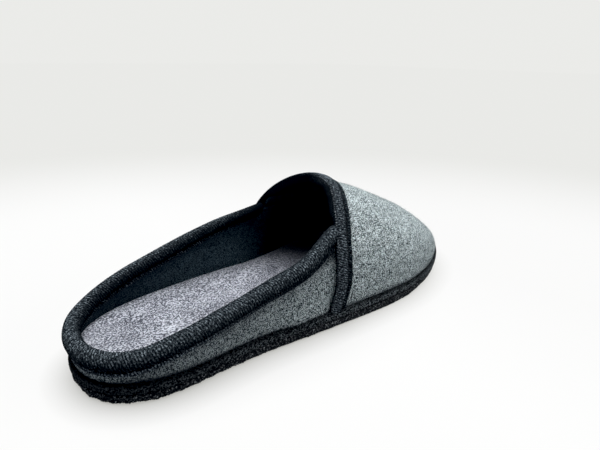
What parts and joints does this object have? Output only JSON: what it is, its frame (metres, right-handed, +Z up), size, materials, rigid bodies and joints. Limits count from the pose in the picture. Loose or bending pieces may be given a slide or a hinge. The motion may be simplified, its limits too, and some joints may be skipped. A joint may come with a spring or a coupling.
{
  "type": "felt slipper",
  "caption": "Right-foot felt house slipper: low open back, closed toe, bound collar and throat edges, and a layered flat sole.",
  "frame": {"origin": "on the floor, under the middle of the slipper's length and width", "axes": "+X towards the toe, +Y towards the foot's inner side, +Z up"},
  "size_m": [0.281, 0.0992, 0.0803],
  "materials": {
    "black_sole": "rough matt",
    "black_felt": "matt felt",
    "pale_felt": "flecked felt",
    "grey_felt": "mottled felt",
    "knit_tape": "ribbed knit"
  },
  "bodies": {
    "root": {"outsole": "black_sole", "midsole": "black_felt", "insole": "pale_felt", "upper": "grey_felt", "collar_binding": "knit_tape", "vamp_binding": "knit_tape"}
  },
  "joints": []
}
